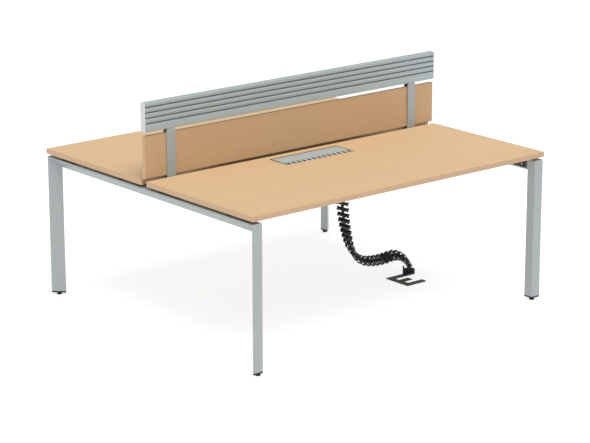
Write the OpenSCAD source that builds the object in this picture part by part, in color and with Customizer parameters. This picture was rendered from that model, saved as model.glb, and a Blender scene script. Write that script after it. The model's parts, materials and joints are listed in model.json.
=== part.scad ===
// Benching desk for two: two worktops back to back on mitred portal end frames,
// with a screen panel, a slatted tool rail, cable ports and a vertebra cable spine.
// The origin is on the floor under the middle of the desk. X runs along the desk,
// Y from the front user to the rear user, Z up. The spine hangs under the front worktop.

/* [Worktops] */
// Length of each worktop along the desk
top_len = 1800; // [1600:50:2000]
// Depth of each worktop from its user's edge to the middle gap
top_dep = 780; // [700:10:880]
// Thickness of the board
top_thk = 25; // [18:1:30]
// Height of the worktop's upper face above the floor
top_h = 743; // [700:1:800]
// Open gap between the two worktops
mid_gap = 40; // [38:1:60]
// Thickness of the strip glued round the board's edge
edge_thk = 2; // [1:0.5:3]

/* [End frames] */
// Width of the frame section, seen along the desk's long side
leg_w = 52; // [45:1:70]
// Depth of the frame section at its inner tip
leg_d = 57; // [50:1:72]
// Depth of the frame section at its outer nose
nose_d = 8; // [5:1:14]
// Wall of the frame tube
tube_wall = 2.5; // [1.5:0.5:3.5]
// Inset of the frame from the end of the worktop
end_inset = 4; // [0:1:40]
// Inset of the frame from the user's edge of the worktop
front_inset = 2; // [0:1:40]
// Height of the spacers between the frame and the worktops
spacer_h = 13; // [6:1:20]
// Radius of the spacers
spacer_r = 12; // [8:1:16]
// Distance of the end spacers from the worktop's long edges
spacer_in = 200; // [170:10:260]

/* [Feet] */
// Free height of a levelling foot under the leg cap
foot_h = 12; // [10:1:30]
// Radius of the foot's disc
foot_r = 12.5; // [10:0.5:16]
// Radius of the foot's threaded stem
stem_r = 5; // [4:0.5:6]
// Visible height of the black leg cap
cap_h = 8; // [5:1:15]
// Depth of the cap's plug inside the tube
plug_h = 16; // [10:1:25]

/* [Beams] */
// Distance of each beam from the desk's middle
beam_off = 400; // [320:10:460]
// Width of a beam
beam_w = 30; // [25:1:40]
// Height of a beam
beam_h = 50; // [40:1:54]
// Wall of a beam
beam_wall = 2; // [1.5:0.5:3]
// Width of the plate welded on each end of a beam
flange_w = 110; // [95:5:140]
// Thickness of the steel plate used for flanges and brackets
steel_thk = 3; // [2:0.5:4]

/* [Screen] */
// Height of the screen panel
panel_h = 202; // [150:2:400]
// Thickness of the screen panel
panel_thk = 18; // [12:1:20]
// Open gap between the worktops and the panel's lower edge
panel_lift = 8; // [4:1:30]
// Distance of each post from the end of the worktops
post_inset = 150; // [110:10:220]
// Width of a post
post_w = 50; // [40:1:70]
// Length of a post below the underside of the worktops
post_tail = 60; // [45:1:80]

/* [Tool rail] */
// Height of the tool rail
rail_h = 138; // [132:1:160]
// Thickness of the tool rail, which the posts share
rail_thk = 34; // [30:1:36]
// Open gap between the panel and the rail
rail_gap = 19; // [8:1:40]
// Height of a groove's mouth
groove_w = 6; // [5:0.5:7]
// Spacing of the grooves
groove_pitch = 25.5; // [25:0.5:28]
// Height of the plain band under the lowest groove
plain_band = 39.5; // [34:0.5:42]
// Depth of a groove behind the face
groove_depth = 12; // [9:0.5:12]
// Height of the hooking space above a groove's mouth
groove_hook = 4; // [2:0.5:5]
// Thickness of the lip that the hooks hang on
groove_lip = 3; // [2:0.5:4]
// Bulge of each slat's face
slat_bulge = 1.2; // [0.4:0.2:2]
// Radius of the rail's upper corners
crown_r = 5; // [3:0.5:10]
// Wall of the rail's hollow chambers
rail_wall = 2.2; // [1.6:0.2:3]
// Thickness of a rail end cap
rail_cap_thk = 2.5; // [1.5:0.5:4]

/* [Cable ports] */
// Length of a cable port
port_w = 420; // [300:5:480]
// Depth of a cable port from front to back
port_d = 131; // [100:1:160]
// Distance of the port from the worktop's inner edge
port_back = 48; // [35:1:80]
// Height of the port's rim above the worktop
rim_h = 1.2; // [0.6:0.2:3]
// Visible width of the port's rim
rim_w = 5; // [4:0.5:8]
// Lap of the rim on the worktop
rim_lap = 2; // [1:0.5:3]
// Height of the port's collar
collar_h = 32; // [28:1:40]
// Thickness of the lid
lid_thk = 3; // [2:0.5:4]
// Number of cable notches in the lid's comb
notch_n = 13; // [5:1:16]
// Width of a cable notch
notch_w = 15; // [10:1:16]
// Depth of a cable notch
notch_d = 29; // [15:1:32]
// Radius of the lid's hinge pin
pin_r = 1.5; // [1.2:0.1:2]

/* [Cable tray] */
// Length of the cable tray
tray_len = 1100; // [800:50:1200]
// Inner width of the cable tray
tray_w = 400; // [390:10:440]
// Depth of the tray below the worktops
tray_drop = 78; // [60:1:110]
// Thickness of the tray's sheet
tray_thk = 1.5; // [1:0.5:2.5]
// Width of the tray's fixing flanges
tray_flange = 25; // [18:1:35]

/* [Cable spine] */
// Distance of the spine from the desk's middle, towards the front user
spine_y = 87; // [70:1:110]
// Position of the spine's cup along the desk
cup_x = 680; // [560:1:700]
// Height of the ball on the cup
cup_ball_h = 50; // [46:1:70]
// Spacing of the links
link_pitch = 30; // [28:1:34]
// Breadth of a link
link_w = 62; // [58:1:66]
// Depth of a link
link_d = 28; // [26:1:33]
// Height of a link's ring
ring_h = 9; // [5:0.5:10]
// Wall of a link's ring
ring_wall = 4; // [3:0.5:4.5]
// Height of the fingers at the ends of a link
finger_h = 17; // [12:0.5:19]
// Thickness of the fingers
finger_thk = 8; // [6:0.5:9]
// Radius of a link's hub
hub_r = 8.5; // [8:0.5:9]
// Radius of a link's ball
ball_r = 6; // [5:0.5:6.5]
// Thickness of a link's wings
wing_thk = 3; // [2.5:0.5:5]
// Height of a link's wings
wing_h = 8; // [4:0.5:10]
// Slant of a link's ring against its axis, in degrees
ring_slant = 15; // [0:1:18]

/* [Floor plate] */
// Depth of the floor plate from front to back
plate_d = 160; // [130:5:200]
// Width of the plate's bars
bar_w = 30; // [24:1:36]
// Thickness of the plate
plate_thk = 5; // [3:1:8]
// Reach of the front arm
front_arm = 125; // [100:5:160]
// Reach of the middle arm
mid_arm = 90; // [70:1:120]
// Distance from the plate's back bar to the middle of the cup
cup_reach = 140; // [110:5:160]

/* [Hidden] */

$fn = 48;

// Overrun of every cut
over = 1;
// Clearance of fixed pieces that slip into or past each other
fit = 0.3;
// Clearance of the hinge pin in the lid and of the stems in the leg caps
run_fit = 0.05;
// Segments of each rounded corner of a section
arc_n = 5;

// Colours
wood = [0.88, 0.74, 0.58];
wood_edge = [0.78, 0.66, 0.51];
panel_wood = [0.72, 0.59, 0.43];
silver = [0.70, 0.72, 0.72];
rail_grey = [0.66, 0.69, 0.68];
cap_white = [0.88, 0.89, 0.90];
black = [0.14, 0.15, 0.14];
dark_steel = [0.28, 0.29, 0.28];
zinc = [0.72, 0.74, 0.76];

// Levels and places that follow from the sizes above
under_z = top_h - top_thk;
frame_top = under_z - spacer_h;
frame_x = top_len / 2 - end_inset;
frame_y = mid_gap / 2 + top_dep - front_inset;
inner_x = frame_x - leg_w;
cap_top = foot_h + cap_h;
panel_z = top_h + panel_lift;
rail_z = panel_z + panel_h + rail_gap;
post_z = under_z - post_tail;
post_plate = (rail_thk - panel_thk) / 2;

// Rounding of the section's four corners: nose top, inner top, inner tip, nose foot
section_r = [3, 5, 3, 3];

// Centre of the circle that touches the section's three long faces: the foot sits there
slope_len = norm([leg_w, leg_d - nose_d]);
foot_in = leg_w * leg_d / (slope_len + leg_w + leg_d - nose_d);
foot_u = leg_w - foot_in;

// Fasteners: shank radius, head radius and head height
bolt_r = 4;
bolt_head_r = 7;
bolt_head_h = 4;
screw_r = 2.5;
screw_head_r = 5;
screw_head_h = 2.6;
wood_screw_len = 15;
grip = 6;

function unit(v) = v / norm(v);
function turn(a) = a > 180 ? a - 360 : a < -180 ? a + 360 : a;

// Arc that rounds corner q, between p and s
function corner(p, q, s, r) =
    let (
        a = unit(p - q),
        b = unit(s - q),
        half = acos(a * b) / 2,
        c = q + unit(a + b) * r / sin(half),
        p1 = q + a * r / tan(half),
        p2 = q + b * r / tan(half),
        a1 = atan2(p1[1] - c[1], p1[0] - c[0]),
        sweep = turn(atan2(p2[1] - c[1], p2[0] - c[0]) - a1)
    )
    [for (i = [0:arc_n]) c + r * [cos(a1 + sweep * i / arc_n), sin(a1 + sweep * i / arc_n)]];

function rounded(pts, radii) =
    let (n = len(pts))
    [for (i = [0:n - 1]) for (p = corner(pts[(i + n - 1) % n], pts[i], pts[(i + 1) % n], radii[i])) p];

// A convex outline moved inwards by d
function inset(pts, d) =
    let (n = len(pts))
    [for (i = [0:n - 1])
        let (
            a = unit(pts[(i + n - 1) % n] - pts[i]),
            b = unit(pts[(i + 1) % n] - pts[i])
        )
        pts[i] + (a + b) * d / abs(a[0] * b[1] - a[1] * b[0])];

// Bevelled section of the end frame: flat outer face, flat inner face and a sloping one
section_pts = [[0, 0], [leg_w, 0], [leg_w, leg_d], [0, nose_d]];
section_in_r = [for (r = section_r) max(r - tube_wall, 0.2 * tube_wall)];

module outer_section() {
    polygon(rounded(section_pts, section_r));
}

module inner_section(gap) {
    polygon(rounded(inset(section_pts, tube_wall + gap), section_in_r));
}

module tube_section() {
    difference() {
        outer_section();
        inner_section(0);
    }
}

// Prism along X whose outline is given in Y and Z
module prism_x(length, pts) {
    rotate([90, 0, 90])
        linear_extrude(length)
            polygon(pts);
}

// Places a piece drawn for the front left corner at the corner of the given signs
module at_corner(sx, sy) {
    mirror([sx > 0 ? 1 : 0, 0, 0])
        mirror([0, sy > 0 ? 1 : 0, 0])
            translate([-frame_x, -frame_y, 0])
                children();
}

// Places a piece drawn for the front user on the given side
module for_user(sy) {
    mirror([0, sy > 0 ? 1 : 0, 0])
        children();
}

module mitre_cut(keep_leg) {
    far = leg_d + over;
    tip = keep_leg ? [far, frame_top + over] : [-over, frame_top - far];
    translate([-over, 0, 0])
        prism_x(leg_w + 2 * over, [[-over, frame_top + over], [far, frame_top - far], tip]);
}

module leg(sx, sy) {
    color(silver)
        at_corner(sx, sy)
            difference() {
                translate([0, 0, cap_top])
                    linear_extrude(frame_top - cap_top)
                        tube_section();
                mitre_cut(true);
            }
}

module leg_front_left() { leg(-1, -1); }
module leg_front_right() { leg(1, -1); }
module leg_rear_left() { leg(-1, 1); }
module leg_rear_right() { leg(1, 1); }

// Places of the corner brackets along the crossbar, and of their screws
bracket_w = 84;
bracket_drop = 44;
bracket_reach = 42;
bracket_screw_gap = 28;
bracket_margin = 3;
bracket_y = [
    frame_y - leg_d - bracket_margin - bracket_w / 2,
    mid_gap / 2 + bracket_margin + bracket_w / 2 + rail_thk
];
frame_screw_z = frame_top - leg_d / 2;
flange_bolt_gap = (flange_w + beam_w) / 2;

module crossbar(sx) {
    color(silver)
        mirror([sx > 0 ? 1 : 0, 0, 0])
            difference() {
                translate([-frame_x, -frame_y, frame_top])
                    rotate([-90, 0, 0])
                        linear_extrude(2 * frame_y)
                            tube_section();
                for (sy = [-1, 1]) {
                    at_corner(-1, sy)
                        mitre_cut(false);
                    for (y = bracket_y)
                        for (s = [-1, 1])
                            translate([-inner_x, sy * y + s * bracket_screw_gap / 2, frame_screw_z])
                                rotate([0, 90, 0])
                                    cylinder(h = 4 * tube_wall, r = screw_r + fit, center = true);
                    for (s = [-1, 1])
                        translate([-inner_x, sy * beam_off + s * flange_bolt_gap / 2, frame_screw_z])
                            rotate([0, 90, 0])
                                cylinder(h = 4 * tube_wall, r = bolt_r + fit, center = true);
                }
            }
}

module crossbar_left() { crossbar(-1); }
module crossbar_right() { crossbar(1); }

module leg_cap(sx, sy) {
    color(black)
        at_corner(sx, sy)
            difference() {
                union() {
                    translate([0, 0, foot_h])
                        linear_extrude(cap_h)
                            outer_section();
                    translate([0, 0, cap_top])
                        linear_extrude(plug_h)
                            inner_section(fit);
                }
                translate([foot_u, foot_in, foot_h - over])
                    cylinder(h = cap_h + plug_h + 2 * over, r = stem_r + run_fit);
            }
}

module leg_cap_front_left() { leg_cap(-1, -1); }
module leg_cap_front_right() { leg_cap(1, -1); }
module leg_cap_rear_left() { leg_cap(-1, 1); }
module leg_cap_rear_right() { leg_cap(1, 1); }

// Levelling foot: chamfered disc, hexagonal wrench collar and stem
foot_chamfer = 1.5;
foot_disc_share = 0.62;
foot_disc_h = foot_disc_share * foot_h;
collar_r = 8.5;
stem_over = 10;

module foot(sx, sy) {
    color(black)
        at_corner(sx, sy)
            translate([foot_u, foot_in, 0]) {
                rotate_extrude()
                    polygon([
                        [0, 0],
                        [foot_r - foot_chamfer, 0],
                        [foot_r, foot_chamfer],
                        [foot_r, foot_disc_h - foot_chamfer],
                        [foot_r - foot_chamfer, foot_disc_h],
                        [0, foot_disc_h]
                    ]);
                translate([0, 0, foot_disc_h])
                    cylinder(h = foot_h - foot_disc_h - fit, r = collar_r, $fn = 6);
                translate([0, 0, foot_disc_h])
                    cylinder(h = cap_top + plug_h + stem_over - foot_disc_h, r = stem_r);
            }
}

module foot_front_left() { foot(-1, -1); }
module foot_front_right() { foot(1, -1); }
module foot_rear_left() { foot(-1, 1); }
module foot_rear_right() { foot(1, 1); }

// Box given by its lowest corner and its size, centred along X
module bar_x(length, y, z, dep, height) {
    translate([-length / 2, y, z])
        cube([length, dep, height]);
}

// Worktop boards with the opening for the cable port
hole_w = port_w - 2 * rim_lap;
hole_d = port_d - 2 * rim_lap;
port_y = mid_gap / 2 + port_back;

module worktop(sy) {
    color(wood)
        for_user(sy)
            difference() {
                bar_x(top_len - 2 * edge_thk, -mid_gap / 2 - top_dep + edge_thk, under_z,
                      top_dep - 2 * edge_thk, top_thk);
                bar_x(hole_w, -port_y - rim_lap - hole_d, under_z - over, hole_d, top_thk + 2 * over);
            }
}

module worktop_front() { worktop(-1); }
module worktop_rear() { worktop(1); }

module edge_strip(sy) {
    color(wood_edge)
        for_user(sy)
            difference() {
                bar_x(top_len, -mid_gap / 2 - top_dep, under_z, top_dep, top_thk);
                bar_x(top_len - 2 * edge_thk, -mid_gap / 2 - top_dep + edge_thk, under_z - over,
                      top_dep - 2 * edge_thk, top_thk + 2 * over);
            }
}

module edge_strip_front() { edge_strip(-1); }
module edge_strip_rear() { edge_strip(1); }

// Beam: rectangular tube with a bolted plate welded on each end
flange_h = leg_d - 2 * tube_wall;
beam_z = frame_top - beam_h;
window_shrink = 6;

module beam(sy) {
    tube_len = 2 * (inner_x - steel_thk);
    color(silver)
        for_user(sy)
            difference() {
                union() {
                    difference() {
                        bar_x(tube_len, -beam_off - beam_w / 2, beam_z, beam_w, beam_h);
                        bar_x(tube_len + 2 * over, -beam_off - beam_w / 2 + beam_wall,
                              beam_z + beam_wall, beam_w - 2 * beam_wall, beam_h - 2 * beam_wall);
                    }
                    for (sx = [-1, 1])
                        mirror([sx > 0 ? 1 : 0, 0, 0])
                            difference() {
                                translate([-inner_x, -beam_off - flange_w / 2,
                                           frame_top - tube_wall - flange_h])
                                    cube([steel_thk, flange_w, flange_h]);
                                translate([-inner_x - over, -beam_off - beam_w / 2 + window_shrink,
                                           beam_z + window_shrink])
                                    cube([steel_thk + 2 * over, beam_w - 2 * window_shrink,
                                          beam_h - 2 * window_shrink - tube_wall]);
                            }
                }
                for (sx = [-1, 1])
                    for (s = [-1, 1])
                        translate([sx * inner_x, -beam_off + s * flange_bolt_gap / 2, frame_screw_z])
                            rotate([0, 90, 0])
                                cylinder(h = 4 * steel_thk, r = bolt_r + fit, center = true);
            }
}

module beam_front() { beam(-1); }
module beam_rear() { beam(1); }

// Screw or bolt along +Z: the head is below zero, the shank above
module fastener(r, head_r, head_h, shank) {
    translate([0, 0, -head_h])
        cylinder(h = head_h, r = head_r);
    cylinder(h = shank, r = r);
}

module beam_bolts() {
    color(zinc)
        for (sx = [-1, 1])
            for (sy = [-1, 1])
                for (s = [-1, 1])
                    mirror([sx > 0 ? 1 : 0, 0, 0])
                        translate([-inner_x + steel_thk, sy * beam_off + s * flange_bolt_gap / 2,
                                   frame_screw_z])
                            rotate([0, -90, 0])
                                fastener(bolt_r, bolt_head_r, bolt_head_h,
                                         steel_thk + tube_wall + grip);
}

module worktop_spacers() {
    color(black)
        for (sy = [-1, 1]) {
            for (sx = [-1, 1])
                for (y = [mid_gap / 2 + spacer_in, frame_y - spacer_in])
                    translate([sx * (frame_x - leg_w / 2), sy * y, frame_top])
                        cylinder(h = spacer_h, r = spacer_r);
            for (x = [-1:1])
                translate([x * top_len / 4, sy * beam_off, frame_top])
                    cylinder(h = spacer_h, r = spacer_r);
        }
}

// Corner bracket of folded plate: one leg on the crossbar, one under the worktop
module worktop_brackets() {
    color(black)
        for (sx = [-1, 1])
            for (sy = [-1, 1])
                for (y = bracket_y)
                    mirror([sx > 0 ? 1 : 0, 0, 0])
                        translate([-inner_x, sy * y - bracket_w / 2, 0])
                            difference() {
                                union() {
                                    translate([0, 0, frame_top - bracket_drop])
                                        cube([steel_thk, bracket_w, spacer_h + bracket_drop]);
                                    translate([0, 0, under_z - steel_thk])
                                        cube([bracket_reach, bracket_w, steel_thk]);
                                }
                                for (s = [-1, 1]) {
                                    translate([0, bracket_w / 2 + s * bracket_screw_gap / 2,
                                               frame_screw_z])
                                        rotate([0, 90, 0])
                                            cylinder(h = 4 * steel_thk, r = screw_r + fit, center = true);
                                    translate([bracket_reach / 2,
                                               bracket_w / 2 + s * bracket_screw_gap / 2, under_z])
                                        cylinder(h = 4 * steel_thk, r = screw_r + fit, center = true);
                                }
                            }
}

module bracket_screws() {
    color(zinc)
        for (sx = [-1, 1])
            for (sy = [-1, 1])
                for (y = bracket_y)
                    for (s = [-1, 1])
                        mirror([sx > 0 ? 1 : 0, 0, 0])
                            translate([-inner_x + steel_thk, sy * y + s * bracket_screw_gap / 2,
                                       frame_screw_z])
                                rotate([0, -90, 0])
                                    fastener(screw_r, screw_head_r, screw_head_h,
                                             steel_thk + tube_wall + grip);
}

// Screws that go up into the worktops, through the brackets, the post brackets and the tray
post_bracket_reach = 75;
post_screw_in = 15;
post_off = top_len / 2 - post_inset;
post_screw_y = rail_thk / 2 + post_bracket_reach - post_screw_in;
tray_screw_y = tray_w / 2 + tray_thk + tray_flange / 2;

module wood_screw(x, y, plate) {
    translate([x, y, under_z - plate])
        fastener(screw_r, screw_head_r, screw_head_h, plate + wood_screw_len);
}

module worktop_screws() {
    color(zinc)
        for (sx = [-1, 1])
            for (sy = [-1, 1]) {
                for (s = [-1, 1]) {
                    for (y = bracket_y)
                        wood_screw(sx * (inner_x - bracket_reach / 2),
                                   sy * y + s * bracket_screw_gap / 2, steel_thk);
                    wood_screw(sx * post_off + s * post_w / 4, sy * post_screw_y, steel_thk);
                }
                for (x = [tray_len / 2 - tray_flange, tray_len / 6])
                    wood_screw(sx * x, sy * tray_screw_y, tray_thk);
            }
}

// Screen panel and its clamped posts
module screen_panel() {
    color(panel_wood)
        bar_x(top_len, -panel_thk / 2, panel_z, panel_thk, panel_h);
}

post_edge_r = 3;
post_chamfer = 8;
post_bolt_gap = post_w / 2;
post_bolt_z = post_z + post_tail / 3;
head_screw_z = rail_z - rail_gap / 2;

module post(sx, sy) {
    color(silver)
        translate([sx * post_off, 0, 0])
            for_user(sy)
                difference() {
                    translate([0, 0, post_z])
                        linear_extrude(rail_z - post_z)
                            polygon(concat(
                                [[post_w / 2, -panel_thk / 2], [-post_w / 2, -panel_thk / 2]],
                                corner([-post_w / 2, 0], [-post_w / 2, -rail_thk / 2],
                                       [0, -rail_thk / 2], post_edge_r),
                                corner([0, -rail_thk / 2], [post_w / 2, -rail_thk / 2],
                                       [post_w / 2, 0], post_edge_r)
                            ));
                    for (s = [-1, 1])
                        mirror([s > 0 ? 1 : 0, 0, 0]) {
                            translate([post_w / 2, 0, rail_z])
                                rotate([0, 45, 0])
                                    cube([post_chamfer * sqrt(2), rail_thk + over, post_chamfer * sqrt(2)],
                                         center = true);
                            translate([post_bolt_gap / 2, 0, post_bolt_z])
                                rotate([90, 0, 0])
                                    cylinder(h = rail_thk + over, r = screw_r + fit);
                        }
                    if (sy > 0)
                        for (s = [-1, 1])
                            translate([s * post_bolt_gap / 2, 0, head_screw_z])
                                rotate([90, 0, 0])
                                    cylinder(h = rail_thk + over, r = screw_r + fit);
                }
}

module post_left_front() { post(-1, -1); }
module post_left_rear() { post(-1, 1); }
module post_right_front() { post(1, -1); }
module post_right_rear() { post(1, 1); }

// Blocks between the two halves of each post; the upper one has the rail's tongue
tongue_w = 20;
tongue_h = 20;
core_w = post_w - 2 * post_edge_r;
core_in = 5;

module post_cores() {
    color(dark_steel)
        for (sx = [-1, 1])
            translate([sx * post_off, 0, 0])
                difference() {
                    union() {
                        bar_x(core_w - 2 * core_in, -panel_thk / 2, post_z, panel_thk, panel_z - post_z);
                        bar_x(core_w, -panel_thk / 2, rail_z - rail_gap, panel_thk, rail_gap);
                        bar_x(core_w, -tongue_w / 2 + fit, rail_z, tongue_w - 2 * fit, tongue_h);
                    }
                    for (s = [-1, 1]) {
                        translate([s * post_bolt_gap / 2, 0, post_bolt_z])
                            rotate([90, 0, 0])
                                cylinder(h = rail_thk, r = screw_r + fit, center = true);
                        translate([s * post_bolt_gap / 2, panel_thk / 2 + over, head_screw_z])
                            rotate([90, 0, 0])
                                cylinder(h = panel_thk / 2 + over + fit, r = screw_r + fit);
                    }
                }
}

module post_brackets() {
    color(black)
        for (sx = [-1, 1])
            for (sy = [-1, 1])
                for_user(sy)
                    translate([sx * post_off, 0, 0])
                        difference() {
                            union() {
                                bar_x(post_w, -rail_thk / 2 - steel_thk, post_z, steel_thk, post_tail);
                                bar_x(post_w, -rail_thk / 2 - post_bracket_reach, under_z - steel_thk,
                                      post_bracket_reach, steel_thk);
                            }
                            for (s = [-1, 1]) {
                                translate([s * post_bolt_gap / 2, 0, post_bolt_z])
                                    rotate([90, 0, 0])
                                        cylinder(h = mid_gap + rail_thk, r = screw_r + fit, center = true);
                                translate([s * post_w / 4, -post_screw_y, under_z])
                                    cylinder(h = 4 * steel_thk, r = screw_r + fit, center = true);
                            }
                        }
}

module post_bolts() {
    color(zinc)
        for (sx = [-1, 1])
            for (s = [-1, 1])
                translate([sx * post_off + s * post_bolt_gap / 2, 0, post_bolt_z])
                    rotate([90, 0, 0]) {
                        grip_len = rail_thk + 2 * steel_thk;
                        translate([0, 0, -grip_len / 2])
                            fastener(screw_r, screw_head_r, screw_head_h, grip_len);
                        translate([0, 0, grip_len / 2])
                            cylinder(h = screw_head_h, r = screw_head_r, $fn = 6);
                    }
}

module rail_screws() {
    color(zinc)
        for (sx = [-1, 1])
            for (s = [-1, 1])
                translate([sx * post_off + s * post_bolt_gap / 2, rail_thk / 2, head_screw_z])
                    rotate([90, 0, 0])
                        fastener(screw_r, screw_head_r, screw_head_h, post_plate + panel_thk / 2);
}

// Tool rail: one extrusion with four hooking grooves on each side
groove_n = 4;
half_face = rail_thk / 2 - slat_bulge;
groove_floor = rail_thk / 2 - groove_depth;
channel_w = tongue_w + 2 * fit;
channel_h = tongue_h + fit;
function groove_z(i) = plain_band + i * groove_pitch;

// Face of one slat from z0 to z1, bulging in the middle
slat_n = 6;
function slat(z0, z1) = [
    for (i = [0:slat_n])
        let (t = i / slat_n)
        [half_face + slat_bulge * sin(180 * t), z0 + (z1 - z0) * t]
];

function groove(z) = [
    [groove_floor, z - groove_w / 2],
    [groove_floor, z + groove_w / 2 + groove_hook],
    [half_face - groove_lip, z + groove_w / 2 + groove_hook],
    [half_face - groove_lip, z + groove_w / 2]
];

crown_z = rail_h - crown_r;
half_rail = concat(
    [[0, channel_h], [channel_w / 2, channel_h], [channel_w / 2, 0]],
    slat(0, groove_z(0) - groove_w / 2),
    [for (i = [0:groove_n - 1])
        for (p = concat(groove(groove_z(i)),
                        i < groove_n - 1
                            ? slat(groove_z(i) + groove_w / 2, groove_z(i + 1) - groove_w / 2)
                            : [[half_face, groove_z(i) + groove_w / 2]]))
            p],
    [for (i = [0:2 * arc_n])
        let (a = 90 * i / (2 * arc_n))
        [half_face - crown_r + crown_r * cos(a), crown_z + crown_r * sin(a)]]
);

module both_sides(pts) {
    polygon(concat(pts, [for (i = [len(pts) - 1:-1:0]) [-pts[i][0], pts[i][1]]]));
}

// Hollow chambers of the rail, as lowest and highest level
chamber_half = half_face - rail_wall;
chambers = concat(
    [[channel_h + rail_wall, groove_z(0) - groove_w / 2 - rail_wall]],
    [for (i = [0:groove_n - 2])
        [groove_z(i) + groove_w / 2 + groove_hook + rail_wall,
         groove_z(i + 1) - groove_w / 2 - rail_wall]]
);

rail_len = top_len - 2 * rail_cap_thk;

module chamber(c, gap) {
    translate([-chamber_half + gap, c[0] + gap])
        square([2 * (chamber_half - gap), c[1] - c[0] - 2 * gap]);
}

module tool_rail() {
    color(rail_grey)
        translate([-rail_len / 2, 0, rail_z])
            rotate([90, 0, 90])
                linear_extrude(rail_len)
                    difference() {
                        both_sides(half_rail);
                        for (c = chambers)
                            chamber(c, 0);
                    }
}

cap_peg = 10;

module rail_cap(sx) {
    color(cap_white)
        mirror([sx > 0 ? 1 : 0, 0, 0])
            translate([-top_len / 2, 0, rail_z])
                rotate([90, 0, 90]) {
                    linear_extrude(rail_cap_thk)
                        both_sides(concat(
                            [[rail_thk / 2, 0]],
                            [for (i = [0:2 * arc_n])
                                let (a = 90 * i / (2 * arc_n))
                                [rail_thk / 2 - crown_r + crown_r * cos(a),
                                 crown_z + crown_r * sin(a)]]
                        ));
                    translate([0, 0, rail_cap_thk])
                        linear_extrude(cap_peg)
                            for (i = [1, 3])
                                chamber(chambers[i], fit);
                }
}

module rail_cap_left() { rail_cap(-1); }
module rail_cap_right() { rail_cap(1); }

// Cable port: rim and collar, hinged lid, comb and pin
lid_gap = 1;
collar_out_w = hole_w - 2 * fit;
collar_out_d = hole_d - 2 * fit;
bay_w = port_w - 2 * rim_w;
bay_d = port_d - 2 * rim_w;
bay_y = -port_y - rim_w;
rim_top = top_h + rim_h;
pin_wall = 2;
barrel_r = pin_r + pin_wall;
pin_y = bay_y - lid_gap - barrel_r;
pin_z = rim_top - barrel_r;
lid_w = bay_w - 2 * lid_gap;
lid_front = -port_y - port_d + rim_lap + lid_gap;
comb_spine = 8;
comb_root = lid_front + notch_d + comb_spine;
ledge = 6;
ledge_h = 3;
ledge_z = rim_top - lid_thk - fit - ledge_h;

module port_frame(sy) {
    color(black)
        for_user(sy)
            difference() {
                union() {
                    bar_x(port_w, -port_y - port_d, top_h, port_d, rim_h);
                    bar_x(collar_out_w, -port_y - rim_lap - fit - collar_out_d, rim_top - collar_h,
                          collar_out_d, collar_h);
                }
                bar_x(bay_w, -port_y - port_d - over, ledge_z + ledge_h, bay_d + rim_w + over, collar_h);
                bar_x(bay_w - 2 * ledge, bay_y - bay_d + ledge, ledge_z, bay_d - ledge, collar_h);
                bar_x(bay_w, bay_y - bay_d, rim_top - collar_h - over, bay_d,
                      ledge_z - rim_top + collar_h + over);
                bar_x(bay_w, pin_y - barrel_r - lid_gap, ledge_z - over,
                      bay_y - pin_y + barrel_r + lid_gap, collar_h);
                translate([0, pin_y, pin_z])
                    rotate([0, 90, 0])
                        cylinder(h = bay_w + rim_w, r = pin_r, center = true);
            }
}

module port_frame_front() { port_frame(-1); }
module port_frame_rear() { port_frame(1); }

module port_lid(sy) {
    color(silver)
        for_user(sy)
            difference() {
                union() {
                    bar_x(lid_w, comb_root, rim_top - lid_thk, pin_y - comb_root, lid_thk);
                    translate([0, pin_y, pin_z])
                        rotate([0, 90, 0])
                            cylinder(h = lid_w, r = barrel_r, center = true);
                }
                translate([0, pin_y, pin_z])
                    rotate([0, 90, 0])
                        cylinder(h = lid_w + 2 * over, r = pin_r + run_fit, center = true);
            }
}

module port_lid_front() { port_lid(-1); }
module port_lid_rear() { port_lid(1); }

// Toothed strip along the lid's free edge: cables leave through its notches
notch_pitch = lid_w / notch_n;

module port_comb(sy) {
    color(zinc)
        for_user(sy)
            difference() {
                bar_x(lid_w, lid_front, rim_top - lid_thk, comb_root - lid_front, lid_thk);
                for (i = [0:notch_n - 1])
                    translate([-lid_w / 2 + (i + 0.5) * notch_pitch - notch_w / 2,
                               lid_front - over, rim_top - lid_thk - over])
                        cube([notch_w, notch_d + over, lid_thk + 2 * over]);
            }
}

module port_comb_front() { port_comb(-1); }
module port_comb_rear() { port_comb(1); }

module hinge_pin(sy) {
    color(zinc)
        for_user(sy)
            translate([0, pin_y, pin_z])
                rotate([0, 90, 0])
                    cylinder(h = bay_w + rim_w, r = pin_r, center = true);
}

module hinge_pin_front() { hinge_pin(-1); }
module hinge_pin_rear() { hinge_pin(1); }

// Cable tray under both ports, open at its ends
tray_z = under_z - tray_drop;

// The spine's route, walked upwards from the cup in the plane of the spine. A link has a
// heading in that plane and a twist about itself. Each stretch is a count of links, and the
// turn and the further twist before each of them, in degrees
first_aim = [123, 64];
floor_stretches = [[1, 0, 0], [5, 13, -4], [5, -4, 2]];
bend_stretches = [[3, -12, 2], [3, -8, 10]];
drop_turn = [-2, 6.5];
head_room = 8;

function turns(stretches) = [for (s = stretches) for (i = [1:s[0]]) [s[1], s[2]]];
function step(aim) = link_pitch * [cos(aim[0]), sin(aim[0])];
function walk(p, aim, list, i = 0) =
    i == len(list)
        ? [[p, aim]]
        : let (next = aim + list[i]) concat([[p, next]], walk(p + step(next), next, list, i + 1));
function climb(p, aim) =
    let (next = aim + drop_turn)
    p[1] + step(next)[1] > tray_z - tray_thk - head_room
        ? [[p, next]]
        : concat([[p, next]], climb(p + step(next), next));

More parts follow.
